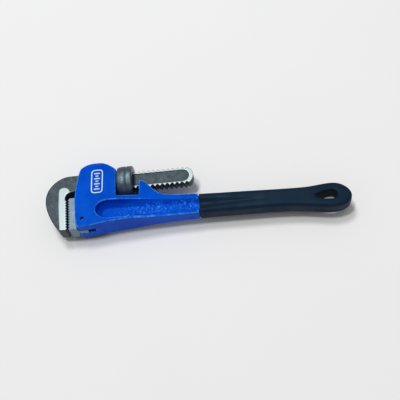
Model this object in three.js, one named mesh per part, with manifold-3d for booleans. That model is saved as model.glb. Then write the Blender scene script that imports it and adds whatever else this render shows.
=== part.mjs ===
// Pipe wrench of the 350 mm pattern, lying on its side. Millimetres, +Z up.
// X runs along the jaw shank towards the handle's end, Y across the handle, Z through its thickness.
// Everything is drawn about the shank's centre line, and the whole group is moved to its base at the end.

import * as THREE from 'three';
import { mergeVertices } from 'three/addons/utils/BufferGeometryUtils.js';
import Module from 'manifold-3d';

// Driving dimensions
const gap = 0.3;                 // between pieces that meet
const pitch = 5;                 // shank thread
const crestRadius = 10.8;
const rootRadius = 8.6;
const threadPlay = 0.45;         // radial play of the nut on the thread
const shankHalf = 5;             // half thickness of the flat shank
const shankEnd = 147;
const threadStart = 44;
const nutRadius = 17;
const nutFront = 70.3;
const nutLength = 15.4;
const jawHalf = 8.5;             // half thickness of both jaws
const toothPitch = 3;
const toothDepth = 1.5;
const housingHalf = 14;          // half thickness of the housing
const housingRear = 69.3;
const windowFloor = -20.8;       // floor of the nut window
const channelHalf = 5.5;         // half width of the shank's channel
const hornFront = 92.3;
const slotHalf = 2.9;            // half width of the heel jaw's slot
const slotTop = -27.7;
const slotRear = 47;
const pinX = 35.7;
const pinY = -42.6;
const pinRadius = 1.4;
const webHalf = 3;               // half thickness of the handle's web
const recessEnd = 150;           // behind this the recess runs out
const recessRise = 0.045;        // slope with which it runs out
const recessFade = 220;
const gripStart = 151;
const gripHalf = 8.5;
const gripWall = 1.9;
const coreHalf = gripHalf - gripWall - gap;
const holeX = 281.5;             // round end of the hanging hole
const holeY = -38.9;
const holeRadius = 4.8;
const holeLength = 18;           // from the round end's centre to the point
const coilX = 42;
const coilRadius = 3.6;
const wireRadius = 0.7;
const leafTop = -crestRadius - gap;
const leafThickness = 0.9;
const rivetX = 64;

const wasm = await Module();
wasm.setup();

// A closed geometry as a solid that can be joined and cut.
function toSolid(geometry) {
  const plain = geometry.clone();
  plain.deleteAttribute('normal');
  plain.deleteAttribute('uv');
  const merged = mergeVertices(plain, 1e-4);
  const mesh = new wasm.Mesh({
    numProp: 3,
    vertProperties: new Float32Array(merged.attributes.position.array),
    triVerts: new Uint32Array(merged.index.array),
  });
  return new wasm.Manifold(mesh);
}

function toMesh(name, solid, color, roughness, metalness) {
  const { vertProperties, triVerts } = solid.getMesh();
  const geometry = new THREE.BufferGeometry();
  geometry.setAttribute('position', new THREE.BufferAttribute(vertProperties, 3));
  geometry.setIndex(new THREE.BufferAttribute(triVerts, 1));
  geometry.computeVertexNormals();
  const mesh = new THREE.Mesh(geometry, new THREE.MeshStandardMaterial({ color, roughness, metalness }));
  mesh.name = name;
  return mesh;
}

const points = (pairs) => pairs.map(([x, y]) => new THREE.Vector2(x, y));

// A slab of an XY outline, centred on z = 0, with optional rounded edges inside the outline.
function slab(shape, half, round = 0, curveSegments = 8) {
  const geometry = new THREE.ExtrudeGeometry(shape, {
    depth: 2 * (half - round),
    steps: 1,
    curveSegments,
    bevelEnabled: round > 0,
    bevelThickness: round,
    bevelSize: round,
    bevelOffset: -round,
    bevelSegments: 2,
  });
  return geometry.translate(0, 0, round - half);
}

// A prism along X of an outline drawn in Y and Z.
function prismAlongX(shape, from, to) {
  const settings = { depth: to - from, bevelEnabled: false, curveSegments: 8 };
  const geometry = new THREE.ExtrudeGeometry(shape, settings);
  const turn = new THREE.Matrix4().set(0, 0, 1, from, 1, 0, 0, 0, 0, 1, 0, 0, 0, 0, 0, 1);
  return geometry.applyMatrix4(turn);
}

// A prism along Y of an outline drawn in X and Z.
function prismAlongY(shape, from, to) {
  const geometry = new THREE.ExtrudeGeometry(shape, { depth: to - from, bevelEnabled: false });
  return geometry.rotateX(Math.PI / 2).translate(0, to, 0);
}

function cylinderAlongZ(x, y, radius, half, segments = 20) {
  const rod = new THREE.CylinderGeometry(radius, radius, 2 * half, segments);
  return rod.rotateX(Math.PI / 2).translate(x, y, 0);
}

function cylinderAlongY(x, fromY, toY, radius, segments = 24) {
  const rod = new THREE.CylinderGeometry(radius, radius, toY - fromY, segments);
  return rod.translate(x, (fromY + toY) / 2, 0);
}

// A right-handed screw about X: root, flank, crest and flank in every pitch. The grid is sheared, so
// that one turn later each column meets itself one pitch further on.
function screw(from, to, root, crest, segments = 36) {
  const profile = [[0, root], [0.15, root], [0.5, crest], [0.65, crest]];
  const rows = profile.length;
  const turns = Math.ceil((to - from) / pitch) + 1;
  const count = rows * turns + 1;
  const positions = [];
  for (let i = 0; i < segments; i++) {
    const angle = (2 * Math.PI * i) / segments;
    for (let j = 0; j < count + rows; j++) {
      const [phase, radius] = profile[j % rows];
      const x = from + pitch * (Math.floor(j / rows) + phase + i / segments - 1);
      positions.push(x, radius * Math.cos(angle), radius * Math.sin(angle));
    }
  }
  const column = count + rows;
  const at = (i, j) => (i < segments ? i * column + j : j + rows);
  const index = [];
  for (let i = 0; i < segments; i++) {
    for (let j = 0; j < count - 1; j++) {
      const [a, b, c, d] = [at(i, j), at(i, j + 1), at(i + 1, j + 1), at(i + 1, j)];
      index.push(a, c, b, a, d, c);
    }
  }
  const low = positions.length / 3;
  positions.push(from - pitch / 2, 0, 0);
  const high = low + 1;
  positions.push(from + pitch * (turns - 0.5), 0, 0);
  for (let i = 0; i < segments; i++) {
    index.push(low, at(i + 1, 0), at(i, 0), high, at(i, count - 1), at(i + 1, count - 1));
  }
  for (let j = 0; j < rows; j++) {
    index.push(low, at(0, j), at(0, j + 1), high, at(0, count + j), at(0, count - 1 + j));
  }
  const geometry = new THREE.BufferGeometry();
  geometry.setAttribute('position', new THREE.BufferAttribute(new Float32Array(positions), 3));
  geometry.setIndex(index);
  return geometry;
}

// Teeth along a straight line, each a small wedge leaning to one side of the line.
function teeth(shape, start, end, depth) {
  const line = new THREE.Vector2().subVectors(end, start);
  const count = Math.round(line.length() / toothPitch);
  const out = new THREE.Vector2(-line.y, line.x).normalize().multiplyScalar(depth);
  for (let i = 0; i < count; i++) {
    const valley = start.clone().addScaledVector(line, i / count);
    const tip = start.clone().addScaledVector(line, (i + 0.35) / count).add(out);
    shape.lineTo(valley.x, valley.y);
    shape.lineTo(tip.x, tip.y);
  }
  shape.lineTo(end.x, end.y);
}

// The handle's outer outline behind the grip's start, pulled in by a distance.
const handleEdge = [
  [gripStart - 8, -23.4], [170, -24.4], [200, -25.5], [228, -26.6], [248, -27.2], [260, -27], [270, -26],
  [280, -25.2], [288, -26.2], [293.8, -29.2], [298.4, -33.9], [300.4, -39.3], [298.9, -44.8], [294.3, -49.3],
  [287, -51.7], [278, -52], [268, -50.7], [256, -48.7], [242, -47.1], [222, -46.1], [190, -45.7],
  [gripStart - 8, -45.1],
];

function handleShape(inset) {
  const edge = points(handleEdge);
  const moved = edge.map((p, i) => {
    const before = edge[Math.max(i - 1, 0)];
    const after = edge[Math.min(i + 1, edge.length - 1)];
    const along = new THREE.Vector2().subVectors(after, before).normalize();
    return new THREE.Vector2(p.x + along.y * inset, p.y - along.x * inset);
  });
  const shape = new THREE.Shape();
  shape.moveTo(moved[0].x, moved[0].y);
  shape.splineThru(moved.slice(1));
  shape.closePath();
  return shape;
}

// The hanging hole: round at the back, drawn out to a point at the front.
function hangHole(inset) {
  const radius = holeRadius - inset;
  const shape = new THREE.Shape();
  shape.absarc(holeX, holeY, radius, -Math.PI / 2, Math.PI / 2);
  shape.quadraticCurveTo(holeX - holeLength / 2, holeY + radius, holeX - holeLength + inset, holeY);
  shape.quadraticCurveTo(holeX - holeLength / 2, holeY - radius, holeX, holeY - radius);
  return shape;
}

// A closed body through rings of equal point count, each at its own height, capped at both ends.
function loft(rings) {
  const size = rings[0].ring.length;
  const positions = rings.flatMap(({ ring, z }) => ring.flatMap((p) => [p.x, p.y, z]));
  const index = [];
  for (let level = 0; level < rings.length - 1; level++) {
    for (let i = 0; i < size; i++) {
      const a = level * size + i;
      const b = level * size + ((i + 1) % size);
      index.push(a, b, b + size, a, b + size, a + size);
    }
  }
  const top = (rings.length - 1) * size;
  THREE.ShapeUtils.triangulateShape(rings[0].ring, []).forEach(([a, b, c]) => index.push(a, c, b));
  THREE.ShapeUtils.triangulateShape(rings.at(-1).ring, []).forEach(([a, b, c]) => {
    index.push(top + a, top + b, top + c);
  });
  const geometry = new THREE.BufferGeometry();
  geometry.setAttribute('position', new THREE.BufferAttribute(new Float32Array(positions), 3));
  geometry.setIndex(index);
  return geometry;
}

// Outline of the handle's recess, pulled in by a distance: two long edges and two round ends.
function recessRing(pull) {
  const front = { x: 61, y: -34.5, half: 9.6 - pull, reach: 12.2 - pull };
  const rear = { x: recessFade, y: -36.6, half: 6.8 - pull, reach: 8 - pull };
  const steps = 8;
  const ring = [];
  for (const [end, side] of [[front, -1], [rear, 1]]) {
    for (let i = 0; i <= steps; i++) {
      const angle = Math.PI * (i / steps - 0.5);
      const across = side * Math.sin(angle) * end.half;
      ring.push(new THREE.Vector2(end.x + side * Math.cos(angle) * end.reach, end.y + across));
    }
  }
  return ring;
}

// One side's recess between the flanges, with sloping walls, running out towards the handle's end.
function recess(floor, inset, skin) {
  const run = 4;
  const depth = skin - floor;
  const rings = [1, 0.86, 0.12, 0].map((t) => ({
    ring: recessRing(inset + run * (t - 0.12 * Math.sin(2 * Math.PI * t))),
    z: skin - depth * t,
  }));
  rings.push({ ring: recessRing(inset), z: skin + 12 });
  const level = loft(rings);
  const rising = level.clone().applyMatrix4(new THREE.Matrix4().set(
    1, 0, 0, 0, 0, 1, 0, 0, recessRise, 0, 1, -recessRise * recessEnd, 0, 0, 0, 1,
  ));
  return toSolid(level).intersect(toSolid(rising));
}

const bothSides = (solid) => solid.add(solid.mirror([0, 0, 1]));

// Handle core under the grip. The allowance grows it on every face, to cut the grip's inside.
function handleCore(allowance) {
  const inset = gripWall + gap - allowance;
  const body = toSolid(slab(handleShape(inset), coreHalf + allowance, 2, 4));
  const hole = toSolid(slab(hangHole(-inset), 30));
  const floor = webHalf + allowance;
  return body.subtract(hole).subtract(bothSides(recess(floor, allowance, coreHalf + allowance)));
}

function headOutline() {
  const shape = new THREE.Shape();
  shape.moveTo(30.6, -51.6);
  shape.splineThru(points([
    [28.9, -43], [28.1, -34], [27.8, -24], [28, -14], [29.2, -4], [30.7, 6], [32.7, 12.8], [36, 16.3],
    [40.2, 18.8], [44.3, 20.8], [48.4, 21.8], [52.5, 21], [56.7, 19], [61, 16.6], [65, 13.6],
    [housingRear, 10.2],
  ]));
  shape.lineTo(housingRear, windowFloor + 2);
  shape.quadraticCurveTo(housingRear, windowFloor, housingRear + 2, windowFloor);
  shape.lineTo(hornFront - 2, windowFloor);
  shape.quadraticCurveTo(hornFront, windowFloor, hornFront, windowFloor + 2);
  shape.lineTo(hornFront, -6);
  shape.quadraticCurveTo(hornFront, -4, hornFront + 2, -4);
  shape.splineThru(points([
    [97, -4.9], [101, -8.6], [105, -13.1], [109.5, -17.5], [115, -20.6], [124, -22.2],
  ]));
  shape.lineTo(gripStart, -23.7);
  shape.lineTo(gripStart, -45.2);
  shape.splineThru(points([
    [125, -45.6], [100, -46.3], [75, -47.4], [58, -48.8], [44, -50.8], [30.6, -51.6],
  ]));
  return shape;
}

// Half thickness against X, seen from above.
function headPlan() {
  const half = [
    [20, housingHalf], [70, housingHalf], [84, 12.2], [100, 9.8], [118, 8], [135, 7.4], [160, 7.2],
  ];
  const shape = new THREE.Shape(points(half));
  [...half].reverse().forEach(([x, z]) => shape.lineTo(x, -z));
  return shape;
}

// Half thickness against Y, seen from the front: a rounded crown and a slight draft downwards.
function headSection() {
  const half = [
    [-60, 12], [-26, housingHalf], [9, housingHalf], [14.5, 13.6], [18, 12.8], [20.2, 11.2], [21.6, 9], [22.4, 6],
  ];
  const shape = new THREE.Shape(points(half));
  [...half].reverse().forEach(([y, z]) => shape.lineTo(y, -z));
  return shape;
}

function frameCasting() {
  let body = toSolid(slab(headOutline(), 20, 0, 6));
  body = body.intersect(toSolid(prismAlongY(headPlan(), -60, 30)));
  body = body.intersect(toSolid(prismAlongX(headSection(), 20, 160)));
  body = body.subtract(bothSides(recess(webHalf, 0, 9.5)));
  body = body.add(handleCore(0));

  // The shank's channel leaves room for the jaw to rock about the nut.
  const channel = new THREE.Shape(points([[15, 16], [75, 12.4], [75, -12.6], [15, -14.4]]));
  body = body.subtract(toSolid(slab(channel, channelHalf)));
  const groove = new THREE.Shape(points([[75, 5], [130, 5], [130, -17.5], [110, -15.4], [75, -13]]));
  body = body.subtract(toSolid(slab(groove, channelHalf + 0.2)));

  const slot = new THREE.Shape(points([
    [20, slotTop], [42, slotTop], [slotRear, -34], [slotRear, -60], [20, -60],
  ]));
  body = body.subtract(toSolid(slab(slot, slotHalf)));
  body = body.subtract(toSolid(cylinderAlongZ(pinX, pinY, pinRadius + gap, 20)));
  body = body.subtract(toSolid(cylinderAlongY(coilX, -26.6, -10, coilRadius + wireRadius + 0.8)));
  body = body.subtract(toSolid(cylinderAlongY(rivetX, -18.4, -10, 4.2)));
  return toMesh('frame_casting', body, 0x0a4fd0, 0.32, 0.0);
}

function gripSleeve() {
  const outer = toSolid(slab(handleShape(0), gripHalf, 3, 4));
  const edge = gripStart + gap;
  const cut = new THREE.Shape(points([[100, -70], [edge, -70], [edge, 0], [100, 0]]));
  const floor = webHalf + gripWall + gap;
  const solid = outer
    .subtract(toSolid(slab(hangHole(0), 30)))
    .subtract(bothSides(recess(floor, gripWall, gripHalf)))
    .subtract(handleCore(gap))
    .subtract(toSolid(slab(cut, 30)));
  return toMesh('grip_sleeve', solid, 0x1c2733, 0.55, 0.0);
}

// The jaw forging: curved head, teeth, and the flat shank with its thread and hollow side panels.
function hookJaw() {
  const head = new THREE.Shape();
  head.moveTo(30.3, 9.6);
  head.lineTo(20, 9.6);
  head.splineThru(points([
    [14.5, 8.6], [8.5, 5.8], [3, 1.2], [-1.2, -5], [-3.3, -12], [-3.2, -21], [-0.8, -30],
    [3.2, -39], [7.6, -46], [12, -51.6],
  ]));
  head.lineTo(19.2, -51.8);
  teeth(head, new THREE.Vector2(18.9, -51.2), new THREE.Vector2(17.1, -18.2), -toothDepth);
  head.splineThru(points([[16.9, -15], [18.2, -11.8], [21.2, -9.6]]));
  head.lineTo(27.5, -8.9);
  const plain = new THREE.Shape(points([[18, 9.6], [24, 10.3], [48, 10.3], [48, -8.4], [18, -8.4]]));

  const bar = new THREE.Shape();
  bar.moveTo(threadStart, 12);
  bar.lineTo(shankEnd - 12, 12);
  bar.absarc(shankEnd - 11, 0, 11, Math.PI / 2, -Math.PI / 2, true);
  bar.lineTo(threadStart, -12);
  const thread = toSolid(screw(threadStart - 6, shankEnd + 6, rootRadius, crestRadius));

  const panel = new THREE.Shape();
  panel.absarc(54, 0, 6.6, Math.PI / 2, (3 * Math.PI) / 2);
  panel.absarc(shankEnd - 11, 0, 6.6, -Math.PI / 2, Math.PI / 2);
  const panelCut = toSolid(slab(panel, 2).translate(0, 0, shankHalf + 1));

  const solid = toSolid(slab(bar, shankHalf))
    .intersect(thread)
    .add(toSolid(slab(plain, shankHalf)))
    .add(toSolid(slab(head, jawHalf, 0.8, 4)))
    .subtract(bothSides(panelCut));
  return toMesh('hook_jaw', solid, 0x4a524f, 0.45, 0.8);
}

function adjustingNut() {
  const half = nutLength / 2;
  const profile = points([
    [0, -half], [nutRadius - 1.1, -half], [nutRadius, 0.9 - half], [nutRadius, half - 0.9],
    [nutRadius - 1.8, half], [0, half],
  ]);
  const turned = new THREE.LatheGeometry(profile, 48);
  const barrel = turned.rotateZ(-Math.PI / 2).translate(nutFront + half, 0, 0);
  const ribs = 36;
  const knurl = new THREE.Shape();
  for (let i = 0; i < 2 * ribs; i++) {
    const angle = (Math.PI * i) / ribs;
    const radius = i % 2 ? nutRadius - 0.4 : nutRadius + 0.1;
    knurl[i ? 'lineTo' : 'moveTo'](radius * Math.cos(angle), radius * Math.sin(angle));
  }
  const nutRear = nutFront + nutLength;
  const bore = screw(nutFront - 8, nutRear + 8, rootRadius + threadPlay, crestRadius + threadPlay, 28);
  const solid = toSolid(barrel)
    .intersect(toSolid(prismAlongX(knurl, nutFront - 1, nutFront + nutLength + 1)))
    .subtract(toSolid(alignScrew(bore)));
  return toMesh('adjusting_nut', solid, 0x7d8484, 0.38, 0.9);
}

// Shifts the nut's screw by the part of a pitch that puts its crests over the shank's grooves.
function alignScrew(geometry) {
  const lead = (nutFront - 8 - (threadStart - 6)) % pitch;
  return geometry.translate(-lead, 0, 0);
}

function heelJaw() {
  const block = new THREE.Shape();
  block.moveTo(20.8, -16.3);
  block.lineTo(27.5, -16);
  block.splineThru(points([[27.4, -24], [27.7, -34], [28.5, -43], [30.1, -51.8]]));
  block.lineTo(22.9, -52);
  teeth(block, new THREE.Vector2(22.5, -51.6), new THREE.Vector2(20.6, -17), toothDepth);
  const tang = new THREE.Shape(points([[27, -29], [37, -29], [39.6, -33], [39.6, -51.3], [27, -51.5]]));
  const solid = toSolid(slab(block, jawHalf, 0.5, 4))
    .add(toSolid(slab(tang, slotHalf - gap)))
    .subtract(toSolid(cylinderAlongZ(pinX, pinY, pinRadius + gap, 20)));
  return toMesh('heel_jaw', solid, 0x8f979b, 0.35, 0.9);
}

function heelJawPin() {
  return toMesh('heel_jaw_pin', toSolid(cylinderAlongZ(pinX, pinY, pinRadius, 11.6)), 0x6f7578, 0.4, 0.9);
}

function flatSpring() {
  const half = shankHalf - 0.4;
  const leaf = new THREE.Shape();
  leaf.moveTo(33, -half);
  leaf.lineTo(rivetX, -half);
  leaf.absarc(rivetX, 0, half, -Math.PI / 2, Math.PI / 2);
  leaf.lineTo(33, half);
  leaf.closePath();
  const solid = toSolid(prismAlongY(leaf, leafTop - leafThickness, leafTop));
  const drilled = solid.subtract(toSolid(cylinderAlongY(rivetX, -20, 0, 1.8)));
  return toMesh('flat_spring', drilled, 0x5b6a80, 0.35, 0.9);
}

function springRivet() {
  const top = leafTop - 0.1;
  const under = leafTop - leafThickness - gap;
  const profile = points([[0, top], [1.5, top], [1.5, under], [2.8, under], [2.8, under - 0.8], [1.5, under - 0.8],
    [1.5, -17.6], [0, -17.6]]);
  const solid = toSolid(new THREE.LatheGeometry(profile.reverse(), 16).translate(rivetX, 0, 0));
  return toMesh('spring_rivet', solid, 0x8b8f92, 0.4, 0.9);
}

// Compression spring standing in its pocket below the flat spring.
function coilSpring() {
  const turns = 5;
  const bottom = -25.4;
  const top = leafTop - leafThickness - 1.3 - wireRadius;
  class Helix extends THREE.Curve {
    getPoint(t, target = new THREE.Vector3()) {
      const angle = 2 * Math.PI * turns * t;
      const y = bottom + (top - bottom) * t;
      return target.set(coilX + coilRadius * Math.cos(angle), y, coilRadius * Math.sin(angle));
    }
  }
  const wire = new THREE.Shape().absarc(0, 0, wireRadius, 0, 2 * Math.PI);
  const tube = new THREE.ExtrudeGeometry(wire, { steps: 60, curveSegments: 3, extrudePath: new Helix() });
  return toMesh('coil_spring', toSolid(tube), 0x9aa0a4, 0.35, 0.9);
}

const wrench = new THREE.Group();
wrench.add(
  frameCasting(), gripSleeve(), hookJaw(), adjustingNut(), heelJaw(), heelJawPin(),
  flatSpring(), springRivet(), coilSpring(),
);

// The origin is the middle of the base.
const box = new THREE.Box3().setFromObject(wrench);
const centre = box.getCenter(new THREE.Vector3());
wrench.position.set(-centre.x, -centre.y, -box.min.z);

const group = new THREE.Group();
group.add(wrench);

export default group;
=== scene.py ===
import bpy
import bmesh
import math
import numpy as np
from mathutils import Matrix, Vector, noise
from mathutils.bvhtree import BVHTree


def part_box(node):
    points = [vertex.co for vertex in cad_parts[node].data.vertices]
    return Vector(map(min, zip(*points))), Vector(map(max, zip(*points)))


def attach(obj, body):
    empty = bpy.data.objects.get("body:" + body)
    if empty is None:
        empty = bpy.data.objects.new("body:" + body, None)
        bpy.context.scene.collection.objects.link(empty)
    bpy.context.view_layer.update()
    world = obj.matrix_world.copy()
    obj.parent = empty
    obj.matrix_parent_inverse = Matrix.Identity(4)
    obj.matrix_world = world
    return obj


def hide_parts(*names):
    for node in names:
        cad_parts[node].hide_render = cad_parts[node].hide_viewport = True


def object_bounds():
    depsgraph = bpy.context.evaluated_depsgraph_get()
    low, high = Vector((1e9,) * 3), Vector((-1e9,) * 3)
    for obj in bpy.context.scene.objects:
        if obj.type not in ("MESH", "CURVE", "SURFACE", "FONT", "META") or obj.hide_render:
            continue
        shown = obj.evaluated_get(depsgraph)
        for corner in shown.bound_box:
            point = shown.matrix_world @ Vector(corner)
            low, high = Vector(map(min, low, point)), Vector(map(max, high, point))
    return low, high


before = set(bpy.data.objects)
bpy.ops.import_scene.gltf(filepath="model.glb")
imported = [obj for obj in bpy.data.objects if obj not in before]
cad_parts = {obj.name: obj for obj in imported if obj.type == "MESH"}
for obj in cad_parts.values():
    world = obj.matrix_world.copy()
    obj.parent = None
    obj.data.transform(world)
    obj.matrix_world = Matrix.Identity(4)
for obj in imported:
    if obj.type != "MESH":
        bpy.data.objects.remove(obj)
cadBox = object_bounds()
mm = 0.001

# Drawing points are in mm about the shank's centre line, with the nut's middle at x = nutMiddle.
nutMiddle = 78.0
nutLow, nutHigh = (Vector(corner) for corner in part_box("adjusting_nut"))
nutCentre = (nutLow + nutHigh) / 2


def place(x, y, z):
    return nutCentre + Vector((x - nutMiddle, y, z)) * mm


def drawn(points):
    flat = (points - np.array(nutCentre)) / mm
    flat[:, 0] += nutMiddle
    return flat


def fade(low, high, values):
    t = np.clip((values - low) / (high - low), 0, 1)
    return t * t * (3 - 2 * t)


# camera
viewpoint = {
    "azimuth": 8.68,
    "elevation": 61.0,
    "roll": -13.0,
    "distance": 720,
    "lens": 64.8,
    "sensor": 36,
    "target": (152, -26.6, -2),
}


def makeCamera(spec):
    azimuth = math.radians(spec["azimuth"])
    elevation = math.radians(spec["elevation"])
    reach = math.cos(elevation)
    away = Vector((math.sin(azimuth) * reach, -math.cos(azimuth) * reach, math.sin(elevation)))
    data = bpy.data.cameras.new("benchCamera")
    data.lens = spec["lens"]
    data.sensor_width = spec["sensor"]
    camera = bpy.data.objects.new("benchCamera", data)
    bpy.context.scene.collection.objects.link(camera)
    camera.location = place(*spec["target"]) + away * spec["distance"] * mm
    level = away.to_track_quat("Z", "Y").to_matrix()
    camera.rotation_euler = (level @ Matrix.Rotation(math.radians(spec["roll"]), 3, "Z")).to_euler()
    bpy.context.scene.camera = camera


makeCamera(viewpoint)
print("camera set")


# finishes
def paintedMask(tree, name):
    attribute = tree.nodes.new("ShaderNodeAttribute")
    attribute.attribute_name = name
    return attribute.outputs["Fac"]


def newFinish(name, roughness, metallic=0.0):
    finish = bpy.data.materials.new(name)
    finish.use_nodes = True
    tree = finish.node_tree
    shader = tree.nodes["Principled BSDF"]
    shader.inputs["Roughness"].default_value = roughness
    shader.inputs["Metallic"].default_value = metallic
    return finish, tree, shader


def objectPoint(tree, stretch=(1, 1, 1)):
    coordinates = tree.nodes.new("ShaderNodeTexCoord")
    mapping = tree.nodes.new("ShaderNodeMapping")
    mapping.inputs["Scale"].default_value = stretch
    tree.links.new(coordinates.outputs["Object"], mapping.inputs["Vector"])
    return mapping.outputs["Vector"]


def addNoise(tree, point, scale, detail=3, rough=0.55):
    grain = tree.nodes.new("ShaderNodeTexNoise")
    grain.inputs["Scale"].default_value = scale
    grain.inputs["Detail"].default_value = detail
    grain.inputs["Roughness"].default_value = rough
    tree.links.new(point, grain.inputs["Vector"])
    return grain.outputs["Fac"]


def remap(tree, value, low, high, toLow=0.0, toHigh=1.0):
    node = tree.nodes.new("ShaderNodeMapRange")
    node.interpolation_type = "SMOOTHSTEP"
    node.inputs["From Min"].default_value = low
    node.inputs["From Max"].default_value = high
    node.inputs["To Min"].default_value = toLow
    node.inputs["To Max"].default_value = toHigh
    tree.links.new(value, node.inputs["Value"])
    return node.outputs["Result"]


def mixColors(tree, factor, first, second):
    node = tree.nodes.new("ShaderNodeMix")
    node.data_type = "RGBA"
    tree.links.new(factor, node.inputs[0])
    for socket, color in ((node.inputs[6], first), (node.inputs[7], second)):
        if isinstance(color, tuple):
            socket.default_value = (*color, 1)
        else:
            tree.links.new(color, socket)
    return node.outputs[2]


def mixNumbers(tree, factor, first, second):
    node = tree.nodes.new("ShaderNodeMix")
    tree.links.new(factor, node.inputs[0])
    for socket, value in ((node.inputs[2], first), (node.inputs[3], second)):
        if isinstance(value, (int, float)):
            socket.default_value = value
        else:
            tree.links.new(value, socket)
    return node.outputs[0]


def addBump(tree, shader, height, strength, distance, below=None):
    bump = tree.nodes.new("ShaderNodeBump")
    bump.inputs["Strength"].default_value = strength
    bump.inputs["Distance"].default_value = distance * mm
    tree.links.new(height, bump.inputs["Height"])
    if below is not None:
        tree.links.new(below, bump.inputs["Normal"])
    tree.links.new(bump.outputs["Normal"], shader.inputs["Normal"])
    return bump.outputs["Normal"]


paint = {
    "deep": (0.0001, 0.054, 0.49),
    "clear": (0.0001, 0.076, 0.60),
    "speck": (0.001, 0.11, 0.72),
    # lighter blue for the painted highlight along convex edges
    "edgeHighlightBlue": (0.07, 0.36, 1.0),
    # lighter blue for the painted highlight on the tops of the hammered bumps
    "crest": (0.05, 0.30, 0.95),
    "gloss": (0.32, 0.46),
    "specular": 0.14,
    "sheen": (0.02, 0.40, 1.0),
    "castBump": (0.35, 0.25),  # strength and height in mm
    "orangePeel": (0.12, 0.08),
}


def bluePaintFinish(spec):
    finish, tree, shader = newFinish("bluePaint", spec["gloss"][0])
    point = objectPoint(tree)
    cloud = remap(tree, addNoise(tree, point, 45, 4), 0.35, 0.65)
    body = mixColors(tree, cloud, spec["deep"], spec["clear"])
    speck = remap(tree, addNoise(tree, point, 900, 2), 0.62, 0.72, 0.0, 0.7)
    body = mixColors(tree, speck, body, spec["speck"])
    # painted highlight: a lighter blue on convex edges (the edge mask), broken into patches by noise
    patches = remap(tree, addNoise(tree, point, 260, 5), 0.35, 0.6, 0.25, 1.0)
    edgeHighlight = mixNumbers(tree, paintedMask(tree, "edge"), 0.0, patches)
    body = mixColors(tree, edgeHighlight, body, spec["edgeHighlightBlue"])
    # painted highlight: a lighter blue on the tops of the hammered bumps
    body = mixColors(tree, paintedMask(tree, "crest"), body, spec["crest"])
    tree.links.new(body, shader.inputs["Base Color"])
    gloss = remap(tree, addNoise(tree, point, 120, 3), 0.3, 0.7, *spec["gloss"])
    tree.links.new(gloss, shader.inputs["Roughness"])
    shader.inputs["Specular IOR Level"].default_value = spec["specular"]
    shader.inputs["Specular Tint"].default_value = (*spec["sheen"], 1)
    casting = addBump(tree, shader, addNoise(tree, point, 420, 4), *spec["castBump"])
    addBump(tree, shader, addNoise(tree, point, 1500, 2), *spec["orangePeel"], casting)
    return finish


vinyl = {
    "deep": (0.0045, 0.0135, 0.028),
    "pale": (0.007, 0.019, 0.040),
    "dust": (0.045, 0.065, 0.085),
    "dustStrength": 0.22,
    "roughness": (0.40, 0.56),
    "specular": 0.1,
    "sheen": (0.5, 0.78, 1.0),
    "waveBump": (0.25, 0.5),
    "skinBump": (0.15, 0.06),
}


def gripVinylFinish(spec):
    finish, tree, shader = newFinish("gripVinyl", spec["roughness"][0])
    point = objectPoint(tree)
    cloud = remap(tree, addNoise(tree, point, 30, 4), 0.3, 0.7)
    body = mixColors(tree, cloud, spec["deep"], spec["pale"])
    dust = remap(tree, addNoise(tree, point, 700, 5, 0.7), 0.6, 0.8, 0.0, spec["dustStrength"])
    tree.links.new(mixColors(tree, dust, body, spec["dust"]), shader.inputs["Base Color"])
    rough = remap(tree, addNoise(tree, point, 90, 4), 0.3, 0.7, *spec["roughness"])
    tree.links.new(rough, shader.inputs["Roughness"])
    shader.inputs["Specular IOR Level"].default_value = spec["specular"]
    shader.inputs["Specular Tint"].default_value = (*spec["sheen"], 1)
    waves = addBump(tree, shader, addNoise(tree, point, 140, 3), *spec["waveBump"])
    addBump(tree, shader, addNoise(tree, point, 2200, 2), *spec["skinBump"], waves)
    return finish


forging = {
    "dark": (0.015, 0.033, 0.045),
    "pale": (0.030, 0.053, 0.068),
    "rubbed": (0.075, 0.105, 0.115),
    "nicked": (0.34, 0.38, 0.38),
    "groundDark": (0.32, 0.40, 0.41),
    "groundPale": (0.45, 0.54, 0.55),
    "oxideRoughness": (0.42, 0.58),
    "groundRoughness": 0.36,
    "oxideMetallic": 0.3,
    "groundMetallic": 0.25,
    "bump": (0.3, 0.12),
}


def forgedFinish(spec):
    finish, tree, shader = newFinish("forgedSteel", spec["groundRoughness"], spec["oxideMetallic"])
    point = objectPoint(tree)
    scale = remap(tree, addNoise(tree, point, 160, 6, 0.65), 0.35, 0.65)
    oxide = mixColors(tree, scale, spec["dark"], spec["pale"])
    rub = remap(tree, addNoise(tree, point, 60, 3), 0.62, 0.75, 0.0, 0.4)
    oxide = mixColors(tree, rub, oxide, spec["rubbed"])
    nicks = remap(tree, addNoise(tree, objectPoint(tree, (1, 1.6, 1)), 520, 2), 0.715, 0.75, 0.0, 0.7)
    oxide = mixColors(tree, nicks, oxide, spec["nicked"])
    streaks = addNoise(tree, objectPoint(tree, (1, 12, 12)), 220, 3)
    bright = mixColors(tree, streaks, spec["groundDark"], spec["groundPale"])
    ground = paintedMask(tree, "ground")
    tree.links.new(mixColors(tree, ground, oxide, bright), shader.inputs["Base Color"])
    rough = remap(tree, addNoise(tree, point, 300, 4), 0.3, 0.7, *spec["oxideRoughness"])
    rough = mixNumbers(tree, ground, rough, spec["groundRoughness"])
    tree.links.new(rough, shader.inputs["Roughness"])
    metal = mixNumbers(tree, ground, spec["oxideMetallic"], spec["groundMetallic"])
    tree.links.new(metal, shader.inputs["Metallic"])
    pits = addNoise(tree, point, 650, 4, 0.6)
    addBump(tree, shader, mixNumbers(tree, ground, pits, streaks), *spec["bump"])
    return finish


nutColors = {
    "dark": (0.050, 0.082, 0.112),
    "pale": (0.080, 0.118, 0.148),
    "roughness": (0.3, 0.42),
    "metallic": 0.55,
    "bump": (0.12, 0.08),
}


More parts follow.
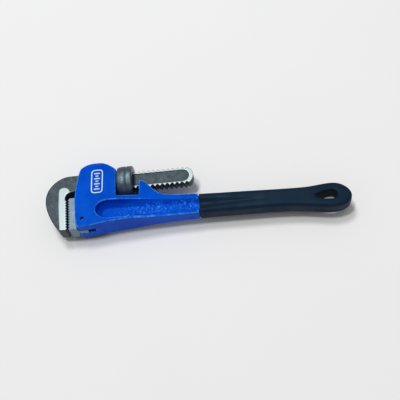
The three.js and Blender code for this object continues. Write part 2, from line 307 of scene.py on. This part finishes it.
def nutFinish(spec):
    finish, tree, shader = newFinish("nutSteel", spec["roughness"][0], spec["metallic"])
    point = objectPoint(tree)
    cloud = remap(tree, addNoise(tree, point, 120, 4), 0.35, 0.65)
    tree.links.new(mixColors(tree, cloud, spec["dark"], spec["pale"]), shader.inputs["Base Color"])
    rough = remap(tree, addNoise(tree, point, 350, 4), 0.3, 0.7, *spec["roughness"])
    tree.links.new(rough, shader.inputs["Roughness"])
    addBump(tree, shader, addNoise(tree, point, 1400, 2), *spec["bump"])
    return finish


def groundFinish(name, low, high, metallic, roughness):
    finish, tree, shader = newFinish(name, roughness, metallic)
    lines = addNoise(tree, objectPoint(tree, (1, 1, 14)), 260, 3)
    tree.links.new(mixColors(tree, lines, low, high), shader.inputs["Base Color"])
    point = objectPoint(tree)
    rough = remap(tree, addNoise(tree, point, 240, 3), 0.3, 0.7, roughness - 0.06, roughness + 0.08)
    tree.links.new(rough, shader.inputs["Roughness"])
    addBump(tree, shader, lines, 0.2, 0.05)
    return finish


def badgeFinish():
    finish, tree, shader = newFinish("badgeWhite", 0.4)
    chips = remap(tree, addNoise(tree, objectPoint(tree), 700, 4), 0.3, 0.7)
    white = mixColors(tree, chips, (0.50, 0.72, 0.85), (0.80, 0.92, 0.96))
    tree.links.new(white, shader.inputs["Base Color"])
    addBump(tree, shader, chips, 0.1, 0.05)
    return finish


bluePaint = bluePaintFinish(paint)
gripVinyl = gripVinylFinish(vinyl)
forgedSteel = forgedFinish(forging)
nutSteel = nutFinish(nutColors)
heelSteel = groundFinish("heelSteel", (0.125, 0.19, 0.245), (0.17, 0.25, 0.315), 0.3, 0.45)
pinSteel = groundFinish("pinSteel", (0.035, 0.037, 0.04), (0.07, 0.072, 0.075), 0.6, 0.5)
springSteel = groundFinish("springSteel", (0.12, 0.14, 0.18), (0.20, 0.22, 0.26), 0.85, 0.35)
badgeWhite = badgeFinish()
print("finishes mixed")


# mesh tools the pieces share
def finishPiece(obj, material, body, slotName, *stoodFor):
    obj.data.materials.clear()
    obj.data.materials.append(material)
    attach(obj, body)
    if stoodFor:
        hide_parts(*stoodFor)


def smoothShaded(mesh):
    mesh.polygons.foreach_set("use_smooth", [True] * len(mesh.polygons))
    mesh.update()


def readPoints(mesh):
    flat = np.empty(len(mesh.vertices) * 3, np.float32)
    mesh.vertices.foreach_get("co", flat)
    return flat.reshape(-1, 3).astype(np.float64)


def writePoints(mesh, points):
    mesh.vertices.foreach_set("co", points.astype(np.float32).ravel())
    mesh.update()


def readNormals(mesh):
    flat = np.empty(len(mesh.vertices) * 3, np.float32)
    mesh.vertex_normals.foreach_get("vector", flat)
    return flat.reshape(-1, 3)


def evaluatedCopy(obj, name):
    graph = bpy.context.evaluated_depsgraph_get()
    mesh = bpy.data.meshes.new_from_object(obj.evaluated_get(graph))
    copy = bpy.data.objects.new(name, mesh)
    bpy.context.scene.collection.objects.link(copy)
    bpy.data.objects.remove(obj)
    return copy


def softened(nodeName, name, voxel, rounds):
    # the CAD solid with its edges eased, as casting, dipping or forging leaves them
    rough = bpy.data.objects.new("rough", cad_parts[nodeName].data.copy())
    bpy.context.scene.collection.objects.link(rough)
    grid = rough.modifiers.new("grid", "REMESH")
    grid.mode = "VOXEL"
    grid.voxel_size = voxel * mm
    ease = rough.modifiers.new("ease", "SMOOTH")
    ease.factor = 0.5
    ease.iterations = rounds
    piece = evaluatedCopy(rough, name)
    smoothShaded(piece.data)
    return piece


def writeMask(mesh, name, values):
    layer = mesh.attributes.new(name, "FLOAT", "POINT")
    layer.data.foreach_set("value", values.astype(np.float32))


def meshPiece(name, builder):
    mesh = bpy.data.meshes.new(name)
    form = bmesh.new()
    builder(form)
    bmesh.ops.recalc_face_normals(form, faces=form.faces)
    form.to_mesh(mesh)
    form.free()
    smoothShaded(mesh)
    piece = bpy.data.objects.new(name, mesh)
    bpy.context.scene.collection.objects.link(piece)
    return piece


def bridgeRings(form, rings):
    for first, second in zip(rings, rings[1:]):
        count = len(first)
        for i in range(count):
            j = (i + 1) % count
            form.faces.new((first[i], first[j], second[j], second[i]))


# frame casting
casting = {
    "voxel": 0.6,
    "soften": 9,
    "hammerHeight": 0.65,  # rough floor of the handle's recess
    "hammerSize": 2.4,
    "hammerX": (60, 88, 151, 153),  # starts, full, eases, ends
    "hammerHalf": (6.8, 9.2),
    "hammerDepth": (4.2, 7.5),
    "middleLine": (61, -35.2, -0.012),  # a point on it and its slope
    "ridge": 1.6,
    "ripple": 0.45,
    "rippleScale": 2.3,
    "sink": 0.2,
    # the next two set how much of each bump top gets the painted highlight, and how strongly
    "crestBand": (0.1, 0.85),
    "crestStrength": 0.65,
    "edgeBand": (0.020, 0.060),
    "edgeSpread": 2,
}


def hammerRecess(piece, spec):
    points = readPoints(piece.data)
    flat = drawn(points)
    startX, fullX, easeX, endX = spec["hammerX"]
    along = fade(startX, fullX, flat[:, 0]) * (1 - fade(easeX, endX, flat[:, 0]))
    middleX, middleY, slope = spec["middleLine"]
    middle = middleY + (flat[:, 0] - middleX) * slope
    across = 1 - fade(*spec["hammerHalf"], np.abs(flat[:, 1] - middle))
    low = 1 - fade(*spec["hammerDepth"], np.abs(flat[:, 2]))
    weight = along * across * low
    side = np.sign(flat[:, 2])
    height = np.zeros(len(points))
    for i in np.flatnonzero(weight > 0.01):
        spot = Vector(flat[i]) / spec["hammerSize"]
        ripple = noise.noise(spot * spec["rippleScale"]) * spec["ripple"]
        height[i] = abs(noise.noise(spot)) * spec["ridge"] + ripple - spec["sink"]
    points[:, 2] += side * weight * height * spec["hammerHeight"] * mm
    writePoints(piece.data, points)
    # the mask written here carries the painted highlight on the tops of the hammered bumps
    writeMask(piece.data, "crest", weight * fade(*spec["crestBand"], height) * spec["crestStrength"])


def edgeCurve(mesh, rounds):
    # how far each point stands out from its neighbours, in mm, spread a little
    points = readPoints(mesh)
    ends = np.empty(len(mesh.edges) * 2, np.int32)
    mesh.edges.foreach_get("vertices", ends)
    first, second = ends.reshape(-1, 2).T
    count = np.bincount(ends, minlength=len(points))

    def average(values):
        total = np.zeros_like(values)
        np.add.at(total, first, values[second])
        np.add.at(total, second, values[first])
        return total / (count[:, None] if values.ndim == 2 else count)

    standing = ((points - average(points)) * readNormals(mesh)).sum(axis=1) / mm
    for _ in range(rounds):
        standing = average(standing)
    return standing


def makeCasting(spec):
    piece = softened("frame_casting", "frameCasting", spec["voxel"], spec["soften"])
    standing = edgeCurve(piece.data, spec["edgeSpread"])
    # the mask written here says where the blue paint gets its painted highlight along convex edges
    writeMask(piece.data, "edge", fade(*spec["edgeBand"], standing))
    hammerRecess(piece, spec)
    finishPiece(piece, bluePaint, "frame", "blue_paint", "frame_casting")


makeCasting(casting)
print("frame casting made")


# badge on the housing: a plain rounded frame round plain bars
badge = {
    "centre": (50.4, -2.9),
    "size": (12.0, 27.0),
    "corner": 3.6,
    "cornerSteps": 6,
    "band": 1.1,
    "ease": 0.15,
    "bottom": 13.4,
    "top": 14.22,
    "bars": 7,
    "barLengths": (6.0, 3.2),
    "barWidth": 1.3,
    "barSpacing": 3.0,
    "barCorner": 0.5,
    "barSteps": 3,
}


def roundedRing(width, height, corner, steps):
    ring = []
    for quarter, (sx, sy) in enumerate(((1, 1), (-1, 1), (-1, -1), (1, -1))):
        for i in range(steps + 1):
            angle = math.pi / 2 * (quarter + i / steps)
            x = sx * (width / 2 - corner) + corner * math.cos(angle)
            y = sy * (height / 2 - corner) + corner * math.sin(angle)
            ring.append((x, y))
    return ring


def makeBadge(spec):
    cx, cy = spec["centre"]
    width, height = spec["size"]
    corner, band, ease = spec["corner"], spec["band"], spec["ease"]
    bottom, top = spec["bottom"], spec["top"]
    bars = spec["bars"]

    def frameRing(form, inset, z):
        ring = roundedRing(width - 2 * inset, height - 2 * inset, corner - inset, spec["cornerSteps"])
        return [form.verts.new(place(cx + x, cy + y, z)) for x, y in ring]

    def barRing(form, length, y, z):
        ring = roundedRing(length, spec["barWidth"], spec["barCorner"], spec["barSteps"])
        return [form.verts.new(place(cx + px, cy + y + py, z)) for px, py in ring]

    def build(form):
        steps = (
            (0, bottom), (0, top - ease), (ease / 2, top),
            (band - ease / 2, top), (band, top - ease), (band, bottom),
        )
        loops = [frameRing(form, inset, z) for inset, z in steps]
        bridgeRings(form, loops + [loops[0]])
        for i in range(bars):
            length = spec["barLengths"][i % 2]
            y = (i - (bars - 1) / 2) * spec["barSpacing"]
            low = barRing(form, length, y, bottom)
            high = barRing(form, length, y, top)
            bridgeRings(form, [low, high])
            form.faces.new(high)
            form.faces.new(low[::-1])

    piece = meshPiece("housingBadge", build)
    finishPiece(piece, badgeWhite, "frame", "blue_paint")


makeBadge(badge)
print("badge made")


# grip
grip = {"voxel": 0.62, "soften": 34, "wave": 0.05, "waveLength": 14}


def makeGrip(spec):
    piece = softened("grip_sleeve", "gripSleeve", spec["voxel"], spec["soften"])
    points = readPoints(piece.data)
    normals = readNormals(piece.data)
    flat = drawn(points)
    for i in range(len(points)):
        swell = noise.noise(Vector(flat[i]) / spec["waveLength"])
        points[i] += normals[i] * swell * spec["wave"] * mm
    writePoints(piece.data, points)
    finishPiece(piece, gripVinyl, "frame", "grip_vinyl", "grip_sleeve")


makeGrip(grip)
print("grip made")


# hook jaw
hookJaw = {
    "voxel": 0.4,
    "soften": 3,
    "toothLine": ((18.9, -51.2), (17.1, -18.2)),
    "toothReach": 2.2,
    "toothSnap": 0.9,  # how far the teeth go back to the solid
    "padProud": 0.22,
    "padEase": 0.35,
    "padOutline": (
        (9.9, -8.0), (10.4, -5.4), (12.2, -4.0), (15.0, -3.5), (18.0, -4.2), (20.0, -6.0), (20.9, -8.4),
        (22.5, -9.3), (22.5, -53.0), (12.6, -53.0), (11.2, -38.0), (10.2, -24.0),
    ),
    "headDepth": (7.6, 8.0),
    "shankDepth": (4.55, 4.8),
    "shankStart": 45,
    "facingUp": (0.55, 0.85),
}


def insideOutline(x, y, outline, ease):
    # 1 for points inside the outline and 0 outside it, faded across its edge
    inside = np.zeros(len(x), bool)
    nearest = np.full(len(x), 1e9)
    for (ax, ay), (bx, by) in zip(outline, outline[1:] + outline[:1]):
        crosses = (ay > y) != (by > y)
        slope = (bx - ax) / ((by - ay) or 1e-9)
        inside ^= crosses & (x < ax + (y - ay) * slope)
        lengthSquared = (bx - ax) ** 2 + (by - ay) ** 2
        t = np.clip(((x - ax) * (bx - ax) + (y - ay) * (by - ay)) / lengthSquared, 0, 1)
        gap = np.hypot(x - ax - t * (bx - ax), y - ay - t * (by - ay))
        nearest = np.minimum(nearest, gap)
    signed = np.where(inside, nearest, -nearest)
    return fade(-ease, ease, signed)


def crispTeeth(piece, nodeName, spec):
    # near the teeth the eased mesh goes back to the solid, so they stay sharp
    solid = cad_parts[nodeName].data
    corners = [v.co.copy() for v in solid.vertices]
    tree = BVHTree.FromPolygons(corners, [tuple(f.vertices) for f in solid.polygons])
    points = readPoints(piece.data)
    flat = drawn(points)
    (ax, ay), (bx, by) = spec["toothLine"]
    gap = np.abs(flat[:, 0] - (ax + (bx - ax) * (flat[:, 1] - ay) / (by - ay)))
    inReach = (gap < spec["toothReach"]) & (flat[:, 1] > min(ay, by) - 1) & (flat[:, 1] < max(ay, by) + 1)
    for i in np.flatnonzero(inReach):
        nearest = tree.find_nearest(Vector(points[i]))[0]
        points[i] += (np.array(nearest) - points[i]) * spec["toothSnap"]
    writePoints(piece.data, points)


def makeHookJaw(spec):
    piece = softened("hook_jaw", "hookJaw", spec["voxel"], spec["soften"])
    crispTeeth(piece, "hook_jaw", spec)
    points = readPoints(piece.data)
    normals = readNormals(piece.data)
    flat = drawn(points)
    depth = np.abs(flat[:, 2])
    flatness = fade(*spec["facingUp"], np.abs(normals[:, 2]))
    pad = insideOutline(flat[:, 0], flat[:, 1], spec["padOutline"], spec["padEase"])
    lifted = pad * fade(*spec["headDepth"], depth)
    points[:, 2] += np.sign(flat[:, 2]) * lifted * spec["padProud"] * mm
    writePoints(piece.data, points)
    rim = fade(*spec["shankDepth"], depth) * flatness * (flat[:, 0] > spec["shankStart"])
    writeMask(piece.data, "ground", np.maximum(lifted * flatness, rim))
    finishPiece(piece, forgedSteel, "hook_jaw", "forged_steel", "hook_jaw")


makeHookJaw(hookJaw)
print("hook jaw made")


# heel jaw and its pin
heelJaw = {
    "voxel": 0.3,
    "soften": 2,
    "toothLine": ((22.5, -51.6), (20.6, -17.0)),
    "toothReach": 2.2,
    "toothSnap": 0.9,
}
heelPin = {"x": 35.7, "y": -42.6, "radius": 1.4, "half": 10.6, "chamfer": 0.35, "steps": 40}


def makeHeelJaw(spec):
    piece = softened("heel_jaw", "heelJaw", spec["voxel"], spec["soften"])
    crispTeeth(piece, "heel_jaw", spec)
    finishPiece(piece, heelSteel, "frame", "heel_steel", "heel_jaw")


def makeHeelPin(spec):
    radius, half, chamfer, count = spec["radius"], spec["half"], spec["chamfer"], spec["steps"]
    profile = (
        (radius - chamfer, -half), (radius, chamfer - half),
        (radius, half - chamfer), (radius - chamfer, half),
    )

    def build(form):
        first = form.verts.new(place(spec["x"], spec["y"], -half))
        last = form.verts.new(place(spec["x"], spec["y"], half))
        rings = []
        for wide, along in profile:
            ring = []
            for i in range(count):
                angle = 2 * math.pi * i / count
                x = spec["x"] + wide * math.cos(angle)
                ring.append(form.verts.new(place(x, spec["y"] + wide * math.sin(angle), along)))
            rings.append(ring)
        bridgeRings(form, rings)
        for tip, ring in ((first, rings[0]), (last, rings[-1])):
            for i in range(count):
                form.faces.new((tip, ring[i], ring[(i + 1) % count]))

    piece = meshPiece("heelJawPin", build)
    finishPiece(piece, pinSteel, "frame", "pin_steel", "heel_jaw_pin")


makeHeelJaw(heelJaw)
makeHeelPin(heelPin)
print("heel jaw and pin made")


# adjusting nut
nut = {
    "front": 70.3,
    "length": 15.4,
    "ribs": 120,
    "ribSteps": 4,
    "ribDepth": 0.12,
    # each row is distance from the front, radius and how deep the ribs are there
    "profile": (
        (0, 15.5, 0), (0.35, 16.1, 0.1), (0.9, 16.42, 0.7), (2.2, 16.62, 1), (3.8, 16.84, 1),
        (5.2, 16.97, 1), (6.4, 17.0, 1), (7.6, 16.92, 1), (8.6, 16.72, 1), (9.2, 16.5, 0.3),
        (9.5, 16.45, 0), (9.8, 16.9, 0.2), (10.2, 17.0, 1), (12.0, 17.0, 1), (13.9, 17.0, 1),
        (14.6, 16.9, 0.7), (15.1, 16.4, 0.1), (15.4, 15.8, 0),
    ),
    "boreRoot": 9.05,
    "boreCrest": 11.25,
    "pitch": 5,
    "threadPhase": 38,
    # part of the pitch along and part of the depth out, once round the thread's form
    "threadForm": (
        (0, 0), (0.15, 0), (0.27, 0.28), (0.38, 0.72), (0.5, 1), (0.65, 1), (0.77, 0.72), (0.88, 0.28),
    ),
    "threadSteps": 48,
    "tapOverrun": 6,
    "creaseAngle": 38,
}


def screwBuilder(spec, low, high):
    shape, segments, pitch = spec["threadForm"], spec["threadSteps"], spec["pitch"]
    start = spec["threadPhase"] + pitch * math.floor((low - spec["threadPhase"]) / pitch)
    turns = math.ceil((high - start) / pitch) + 1
    rows = len(shape)
    depth = spec["boreCrest"] - spec["boreRoot"]

    def build(form):
        columns = []
        for i in range(segments):
            angle = 2 * math.pi * i / segments
            column = []
            for j in range(rows * (turns + 1) + 1):
                phase, lift = shape[j % rows]
                radius = spec["boreRoot"] + depth * lift
                x = start + pitch * (j // rows + phase + i / segments - 1)
                column.append(form.verts.new(place(x, radius * math.cos(angle), radius * math.sin(angle))))
            columns.append(column)
        count = rows * turns + 1
        nextColumns = columns[1:] + [columns[0][rows:]]
        for here, beside in zip(columns, nextColumns):
            for j in range(count - 1):
                form.faces.new((here[j], here[j + 1], beside[j + 1], beside[j]))
        lowTip = form.verts.new(place(start - pitch / 2, 0, 0))
        highTip = form.verts.new(place(start + pitch * (turns - 0.5), 0, 0))
        for here, beside in zip(columns, nextColumns):
            form.faces.new((lowTip, beside[0], here[0]))
            form.faces.new((highTip, here[count - 1], beside[count - 1]))
        for j in range(rows):
            form.faces.new((lowTip, columns[0][j], columns[0][j + 1]))
            form.faces.new((highTip, columns[0][count + j], columns[0][count - 1 + j]))
        for extra in columns[1:]:
            for vert in extra[count:]:
                form.verts.remove(vert)
    return build


def makeNut(spec):
    front = spec["front"]
    rear = front + spec["length"]
    past = spec["tapOverrun"]

    def build(form):
        count = spec["ribs"] * spec["ribSteps"]
        rings = []
        for along, full, ribbed in spec["profile"]:
            ring = []
            for i in range(count):
                angle = 2 * math.pi * i / count
                groove = 0.5 - 0.5 * math.cos(spec["ribs"] * angle)
                radius = full - spec["ribDepth"] * ribbed * groove
                across, up = radius * math.cos(angle), radius * math.sin(angle)
                ring.append(form.verts.new(place(front + along, across, up)))
            rings.append(ring)
        bridgeRings(form, rings)
        form.faces.new(rings[0][::-1])
        form.faces.new(rings[-1])

    barrel = meshPiece("nutBarrel", build)
    tap = meshPiece("nutTap", screwBuilder(spec, front - past, rear + past))
    cut = barrel.modifiers.new("tap", "BOOLEAN")
    cut.operation = "DIFFERENCE"
    cut.solver = "EXACT"
    cut.object = tap
    piece = evaluatedCopy(barrel, "adjustingNut")
    bpy.data.objects.remove(tap)
    smoothShaded(piece.data)
    piece.data.set_sharp_from_angle(angle=math.radians(spec["creaseAngle"]))
    finishPiece(piece, nutSteel, "adjusting_nut", "nut_steel", "adjusting_nut")


makeNut(nut)
print("nut made")


# springs and the rivet
coil = {
    "x": 42,
    "radius": 3.6,
    "wire": 0.7,
    "turns": 5,
    "bottom": -25.4,
    "top": -14.0,
    "steps": 24,
    "closing": 0.55,  # how much the coils close up at the ends
    "roundness": 4,
}
eased = {"segments": 2, "angle": 40}


def makeCoil(spec):
    data = bpy.data.curves.new("coilSpring", "CURVE")
    data.dimensions = "3D"
    data.bevel_depth = spec["wire"] * mm
    data.bevel_resolution = spec["roundness"]
    data.use_fill_caps = True
    count = spec["turns"] * spec["steps"] + 1
    spline = data.splines.new("POLY")
    spline.points.add(count - 1)
    for i in range(count):
        t = i / (count - 1)
        closed = 0.5 * (1 - math.cos(math.pi * t))
        angle = 2 * math.pi * spec["turns"] * t
        rise = t + (closed - t) * spec["closing"]
        y = spec["bottom"] + (spec["top"] - spec["bottom"]) * rise
        at = place(spec["x"] + spec["radius"] * math.cos(angle), y, spec["radius"] * math.sin(angle))
        spline.points[i].co = (*at, 1)
    piece = bpy.data.objects.new("coilSpring", data)
    bpy.context.scene.collection.objects.link(piece)
    finishPiece(piece, springSteel, "frame", "spring_steel", "coil_spring")


def keepNode(nodeName, material, bevel):
    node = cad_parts[nodeName]
    node.data.materials.clear()
    node.data.materials.append(material)
    edge = node.modifiers.new("edge", "BEVEL")
    edge.width = bevel * mm
    edge.segments = eased["segments"]
    edge.limit_method = "ANGLE"
    edge.angle_limit = math.radians(eased["angle"])


makeCoil(coil)
keepNode("flat_spring", springSteel, 0.15)
keepNode("spring_rivet", pinSteel, 0.12)
print("springs and rivet made")


# floor and lights
studio = {
    "floorSize": 24.0,
    "floorDrop": 0.05,
    "contactReach": 13,  # how far the painted contact shadow round the tool spreads, in mm
    "contactShade": (0.13, 0.13, 0.15),
    "contactSamples": 12,
    "worldStrength": 0.36,
    "sunFrom": (-0.22, 0.02, 1.0),
    "sunSoftness": 8,
    "sunStrength": 1.0,
    "sunDistance": 1.0,
    "overheadFrom": (-0.16, 0.32, 0.92),
    "overheadDistance": 2.4,
    "overheadSize": 0.6,
    "overheadPower": 21.5,
}


def floorFinish(spec):
    finish, tree, shader = newFinish("paleFloor", 0.85)
    cloud = addNoise(tree, objectPoint(tree), 6, 2)
    pale = mixColors(tree, cloud, (0.83, 0.83, 0.83), (0.845, 0.845, 0.85))
    # painted shadow: the floor colour darkens to contactShade near the tool, by ambient occlusion
    contact = tree.nodes.new("ShaderNodeAmbientOcclusion")
    contact.samples = spec["contactSamples"]
    contact.inputs["Distance"].default_value = spec["contactReach"] * mm
    shade = remap(tree, contact.outputs["AO"], 0.25, 0.8)
    tree.links.new(mixColors(tree, shade, spec["contactShade"], pale), shader.inputs["Base Color"])
    shader.inputs["Specular IOR Level"].default_value = 0.1
    return finish


def makeFloor(spec):
    half = spec["floorSize"] / 2
    level = cadBox[0][2] - spec["floorDrop"] * mm

    def build(form):
        corners = [(-half, -half), (half, -half), (half, half), (-half, half)]
        form.faces.new([form.verts.new((x, y, level)) for x, y in corners])

    floor = meshPiece("benchTop", build)
    floor.data.materials.append(floorFinish(spec))


def addLight(kind, name, towards, distance):
    data = bpy.data.lights.new(name, kind)
    light = bpy.data.objects.new(name, data)
    bpy.context.scene.collection.objects.link(light)
    direction = Vector(towards).normalized()
    light.location = place(*viewpoint["target"]) + direction * distance
    light.rotation_euler = direction.to_track_quat("Z", "Y").to_euler()
    return data


def makeStudio(spec):
    makeFloor(spec)
    world = bpy.data.worlds.new("studio")
    bpy.context.scene.world = world
    world.use_nodes = True
    sky = world.node_tree.nodes["Background"]
    sky.inputs["Color"].default_value = (1, 1, 1, 1)
    sky.inputs["Strength"].default_value = spec["worldStrength"]
    sun = addLight("SUN", "sunLight", spec["sunFrom"], spec["sunDistance"])
    sun.energy = spec["sunStrength"]
    sun.angle = math.radians(spec["sunSoftness"])
    overhead = addLight("AREA", "overheadLight", spec["overheadFrom"], spec["overheadDistance"])
    overhead.shape = "DISK"
    overhead.size = spec["overheadSize"]
    overhead.energy = spec["overheadPower"]
    bpy.context.scene.view_settings.view_transform = "Standard"  # keeps the blue strong


makeStudio(studio)
print("studio lit")
